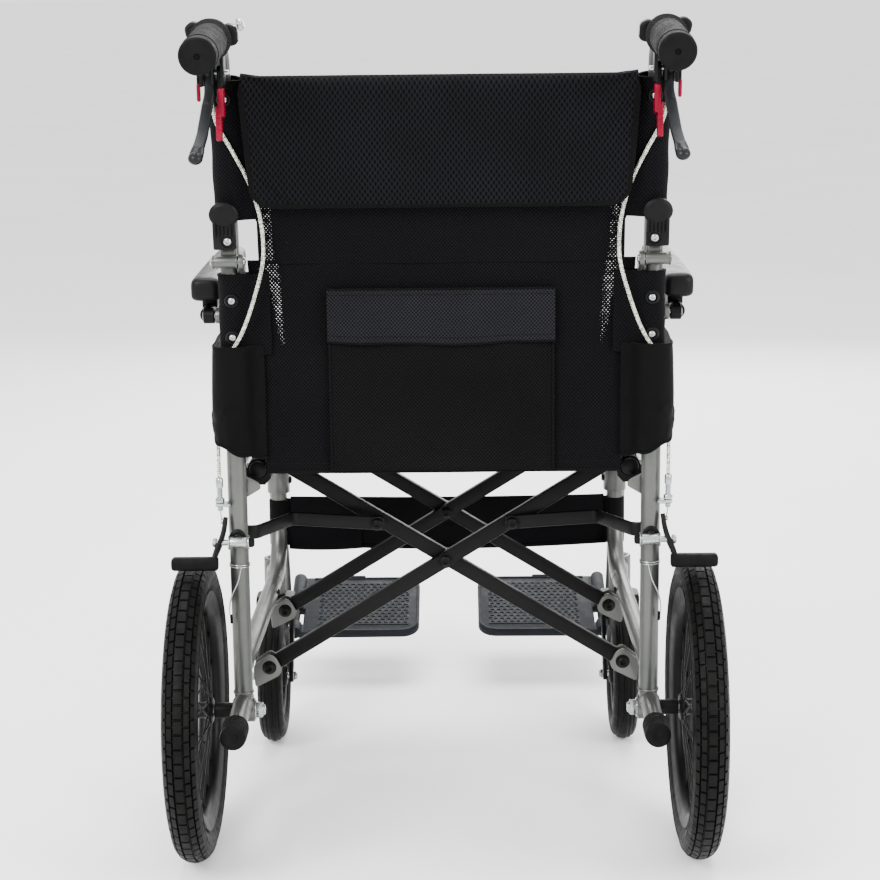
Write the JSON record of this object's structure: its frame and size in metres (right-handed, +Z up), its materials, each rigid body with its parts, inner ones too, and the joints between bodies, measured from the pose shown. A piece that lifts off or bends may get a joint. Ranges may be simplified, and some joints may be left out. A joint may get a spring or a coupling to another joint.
{
  "type": "transport wheelchair",
  "caption": "Folding transport wheelchair with X-brace frame, push handles, half-folding back, flip-back armrests, attendant brakes, swivel casters and flip-up footplates.",
  "frame": {"origin": "on the floor, under the middle of the open chair's outline", "axes": "+Z up, +Y the way the chair faces, +X to the right when looking along +Y from behind the chair, which is the occupant's right"},
  "size_m": [0.642, 0.9846, 0.9832],
  "materials": {
    "frame_paint": "satin warm silver-grey paint on tube",
    "black_paint": "satin black powder coat",
    "black_gloss": "gloss black rim and spokes",
    "zinc": "bright zinc plate",
    "black_plastic": "moulded black plastic",
    "grey_plastic": "dark blue-grey moulded plastic",
    "red_plastic": "crimson moulded plastic",
    "rubber_cap": "matte black rubber",
    "grip_rubber": "dark grey knurled rubber",
    "tyre_rubber": "black treaded rubber",
    "mesh_fabric": "black spacer mesh",
    "seat_fabric": "black woven nylon",
    "guard_fabric": "smooth black fabric",
    "strap_fabric": "black webbing",
    "cable_braid": "silver-white braided housing"
  },
  "bodies": {
    "frame_left": {"side_frame_left": "frame_paint", "rear_tip_cap_left": "rubber_cap", "rear_axle_left": "zinc", "side_guard_left": "guard_fabric", "footrest_hanger_left": "frame_paint", "cable_adjuster_left": "zinc", "brake_cable_left": "cable_braid", "calf_strap": "strap_fabric"},
    "frame_right": {"side_frame_right": "frame_paint", "rear_tip_cap_right": "rubber_cap", "rear_axle_right": "zinc", "side_guard_right": "guard_fabric", "footrest_hanger_right": "frame_paint", "cable_adjuster_right": "zinc", "brake_cable_right": "cable_braid"},
    "cross_a": {"cross_bar_a_rear": "black_paint", "cross_bar_a_front": "black_paint", "seat_rail_right": "frame_paint"},
    "cross_b": {"cross_bar_b_rear": "black_paint", "cross_bar_b_front": "black_paint", "seat_rail_left": "frame_paint"},
    "link_left": {"link_arm_left": "black_paint"},
    "footplate_left": {"footplate_left": "grey_plastic"},
    "seat_left": {"seat_left": "seat_fabric"},
    "back_lower_left": {"back_lower_left": "mesh_fabric", "back_pocket": "mesh_fabric"},
    "back_fold_left": {"upper_post_left": "frame_paint", "hand_grip_left": "grip_rubber", "lever_clamp_left": "black_plastic"},
    "back_upper_left": {"back_upper_left": "mesh_fabric"},
    "brake_lever_left": {"brake_lever_left": "black_paint"},
    "parking_catch_left": {"parking_catch_left": "red_plastic"},
    "back_latch_left": {"back_latch_left": "black_plastic"},
    "armrest_left": {"armrest_pad_left": "black_plastic", "armrest_support_left": "frame_paint"},
    "rear_wheel_left": {"rear_tyre_left": "tyre_rubber", "rear_wheel_left": "black_gloss"},
    "caster_swivel_left": {"caster_fork_left": "black_paint"},
    "caster_wheel_left": {"caster_tyre_left": "tyre_rubber", "caster_rim_left": "black_plastic"},
    "brake_arm_left": {"brake_arm_left": "black_paint"},
    "link_right": {"link_arm_right": "black_paint"},
    "footplate_right": {"footplate_right": "grey_plastic"},
    "seat_right": {"seat_right": "seat_fabric"},
    "back_lower_right": {"back_lower_right": "mesh_fabric"},
    "back_fold_right": {"upper_post_right": "frame_paint", "hand_grip_right": "grip_rubber", "lever_clamp_right": "black_plastic"},
    "back_upper_right": {"back_upper_right": "mesh_fabric"},
    "brake_lever_right": {"brake_lever_right": "black_paint"},
    "parking_catch_right": {"parking_catch_right": "red_plastic"},
    "back_latch_right": {"back_latch_right": "black_plastic"},
    "armrest_right": {"armrest_pad_right": "black_plastic", "armrest_support_right": "frame_paint"},
    "rear_wheel_right": {"rear_tyre_right": "tyre_rubber", "rear_wheel_right": "black_gloss"},
    "caster_swivel_right": {"caster_fork_right": "black_paint"},
    "caster_wheel_right": {"caster_tyre_right": "tyre_rubber", "caster_rim_right": "black_plastic"},
    "brake_arm_right": {"brake_arm_right": "black_paint"}
  },
  "joints": [
    {"name": "fold", "type": "hinge", "parent": "frame_left", "child": "cross_a", "pos_m": [-0.217, -0.26403, 0.199], "axis": [0, -1, 0], "range_deg": [0, 44], "deforming": ["seat_left", "seat_right", "back_lower_left", "back_lower_right", "back_upper_left", "back_upper_right", "back_pocket", "calf_strap"]},
    {"name": "brace_centre", "type": "hinge", "parent": "cross_a", "child": "cross_b", "pos_m": [0, -0.26403, 0.332], "axis": [0, -1, 0], "range_deg": [-88.02, 0]},
    {"name": "brace_right_foot", "type": "hinge", "parent": "cross_b", "child": "frame_right", "pos_m": [0.217, -0.26403, 0.199], "axis": [0, -1, 0], "range_deg": [0, 44.02]},
    {"name": "link_left_pivot", "type": "hinge", "parent": "frame_left", "child": "link_left", "pos_m": [-0.239, -0.26403, 0.392], "axis": [0, -1, 0], "range_deg": [0, 70.7]},
    {"name": "footplate_left_flip", "type": "hinge", "parent": "frame_left", "child": "footplate_left", "pos_m": [-0.228, 0.41347, 0.103], "axis": [0, -0.9659, -0.2588], "range_deg": [0, 88.02]},
    {"name": "link_right_pivot", "type": "hinge", "parent": "frame_right", "child": "link_right", "pos_m": [0.239, -0.26403, 0.392], "axis": [0, 1, 0], "range_deg": [0, 70.7]},
    {"name": "footplate_right_flip", "type": "hinge", "parent": "frame_right", "child": "footplate_right", "pos_m": [0.228, 0.41347, 0.103], "axis": [0, 0.9659, 0.2588], "range_deg": [0, 88.02]},
    {"name": "seat_left_rail", "type": "hinge", "parent": "cross_b", "child": "seat_left", "pos_m": [-0.217, -0.04203, 0.465], "axis": [0, 1, 0], "range_deg": [0, 31.87]},
    {"name": "seat_centre", "type": "hinge", "parent": "seat_left", "child": "seat_right", "pos_m": [0, -0.04203, 0.476], "axis": [0, -1, 0], "range_deg": [0, 151.72]},
    {"name": "back_lower_left_post", "type": "hinge", "parent": "frame_left", "child": "back_lower_left", "pos_m": [-0.239, -0.26403, 0.586], "axis": [0, 0, -1], "range_deg": [0, 68.77]},
    {"name": "back_lower_centre", "type": "hinge", "parent": "back_lower_left", "child": "back_lower_right", "pos_m": [0, -0.26503, 0.586], "axis": [0, 0, 1], "range_deg": [0, 137.51]},
    {"name": "back_fold_left", "type": "hinge", "parent": "frame_left", "child": "back_fold_left", "pos_m": [-0.239, -0.28603, 0.714], "axis": [1, 0, 0], "range_deg": [0, 110], "deforming": ["brake_cable_left", "brake_cable_right"]},
    {"name": "back_fold_right", "type": "hinge", "parent": "frame_right", "child": "back_fold_right", "pos_m": [0.239, -0.28603, 0.714], "axis": [1, 0, 0], "range_deg": [0, 110.02]},
    {"name": "back_upper_left_post", "type": "hinge", "parent": "back_fold_left", "child": "back_upper_left", "pos_m": [-0.239, -0.26403, 0.713], "axis": [0, 0.1797, -0.9837], "range_deg": [0, 68.05]},
    {"name": "back_upper_centre", "type": "hinge", "parent": "back_upper_left", "child": "back_upper_right", "pos_m": [0, -0.26797, 0.71228], "axis": [0, -0.1797, 0.9837], "range_deg": [0, 136.08]},
    {"name": "brake_lever_left", "type": "hinge", "parent": "back_fold_left", "child": "brake_lever_left", "pos_m": [-0.249, -0.33403, 0.925], "axis": [-1, 0, 0], "range_deg": [0, 28], "stiffness_Nm_per_rad": 0.6, "springref_deg": -22.92},
    {"name": "brake_arm_left", "type": "hinge", "parent": "frame_left", "child": "brake_arm_left", "pos_m": [-0.259, -0.28303, 0.388], "axis": [1, 0, 0], "range_deg": [0, 13.02]},
    {"name": "parking_catch_left", "type": "hinge", "parent": "back_fold_left", "child": "parking_catch_left", "pos_m": [-0.237, -0.33403, 0.925], "axis": [-1, 0, 0], "range_deg": [0, 35]},
    {"name": "back_latch_left", "type": "hinge", "parent": "back_fold_left", "child": "back_latch_left", "pos_m": [-0.243, -0.28603, 0.714], "axis": [1, 0, 0], "range_deg": [0, 18], "stiffness_Nm_per_rad": 0.6, "springref_deg": -22.92},
    {"name": "armrest_left_flip", "type": "hinge", "parent": "frame_left", "child": "armrest_left", "pos_m": [-0.271, -0.23203, 0.645], "axis": [-1, 0, 0], "range_deg": [-90, 0]},
    {"name": "rear_wheel_left_spin", "type": "hinge", "parent": "frame_left", "child": "rear_wheel_left", "pos_m": [-0.295, -0.26403, 0.178], "axis": [1, 0, 0], "continuous": true},
    {"name": "caster_left_swivel", "type": "hinge", "parent": "frame_left", "child": "caster_swivel_left", "pos_m": [-0.239, 0.18097, 0.215], "axis": [0, 0, 1], "continuous": true},
    {"name": "caster_left_spin", "type": "hinge", "parent": "caster_swivel_left", "child": "caster_wheel_left", "pos_m": [-0.239, 0.12597, 0.089], "axis": [1, 0, 0], "continuous": true},
    {"name": "brake_lever_right", "type": "hinge", "parent": "back_fold_right", "child": "brake_lever_right", "pos_m": [0.249, -0.33403, 0.925], "axis": [-1, 0, 0], "range_deg": [0, 28], "stiffness_Nm_per_rad": 0.6, "springref_deg": -22.92},
    {"name": "brake_arm_right", "type": "hinge", "parent": "frame_right", "child": "brake_arm_right", "pos_m": [0.259, -0.28303, 0.388], "axis": [1, 0, 0], "range_deg": [0, 13.02]},
    {"name": "parking_catch_right", "type": "hinge", "parent": "back_fold_right", "child": "parking_catch_right", "pos_m": [0.237, -0.33403, 0.925], "axis": [-1, 0, 0], "range_deg": [0, 35]},
    {"name": "back_latch_right", "type": "hinge", "parent": "back_fold_right", "child": "back_latch_right", "pos_m": [0.243, -0.28603, 0.714], "axis": [1, 0, 0], "range_deg": [0, 18], "stiffness_Nm_per_rad": 0.6, "springref_deg": -22.92},
    {"name": "armrest_right_flip", "type": "hinge", "parent": "frame_right", "child": "armrest_right", "pos_m": [0.271, -0.23203, 0.645], "axis": [-1, 0, 0], "range_deg": [-90, 0]},
    {"name": "rear_wheel_right_spin", "type": "hinge", "parent": "frame_right", "child": "rear_wheel_right", "pos_m": [0.295, -0.26403, 0.178], "axis": [1, 0, 0], "continuous": true},
    {"name": "caster_right_swivel", "type": "hinge", "parent": "frame_right", "child": "caster_swivel_right", "pos_m": [0.239, 0.18097, 0.215], "axis": [0, 0, 1], "continuous": true},
    {"name": "caster_right_spin", "type": "hinge", "parent": "caster_swivel_right", "child": "caster_wheel_right", "pos_m": [0.239, 0.12597, 0.089], "axis": [1, 0, 0], "continuous": true}
  ],
  "couplings": [
    {"joint": "brace_centre", "follows": "fold", "ratio": -2},
    {"joint": "brace_right_foot", "follows": "fold", "ratio": 1},
    {"joint": "link_left_pivot", "follows": "fold", "ratio": 1.6065},
    {"joint": "footplate_left_flip", "follows": "fold", "ratio": 2},
    {"joint": "link_right_pivot", "follows": "fold", "ratio": 1.6065},
    {"joint": "footplate_right_flip", "follows": "fold", "ratio": 2},
    {"joint": "seat_left_rail", "follows": "fold", "ratio": 0.72391},
    {"joint": "seat_centre", "follows": "fold", "ratio": 3.4478},
    {"joint": "back_lower_left_post", "follows": "fold", "ratio": 1.5624},
    {"joint": "back_lower_centre", "follows": "fold", "ratio": 3.1248},
    {"joint": "back_fold_right", "follows": "back_fold_left", "ratio": 1},
    {"joint": "back_upper_left_post", "follows": "fold", "ratio": 1.5461},
    {"joint": "back_upper_centre", "follows": "fold", "ratio": 3.0923},
    {"joint": "brake_arm_left", "follows": "brake_lever_left", "ratio": 0.46429},
    {"joint": "brake_arm_right", "follows": "brake_lever_right", "ratio": 0.46429}
  ]
}
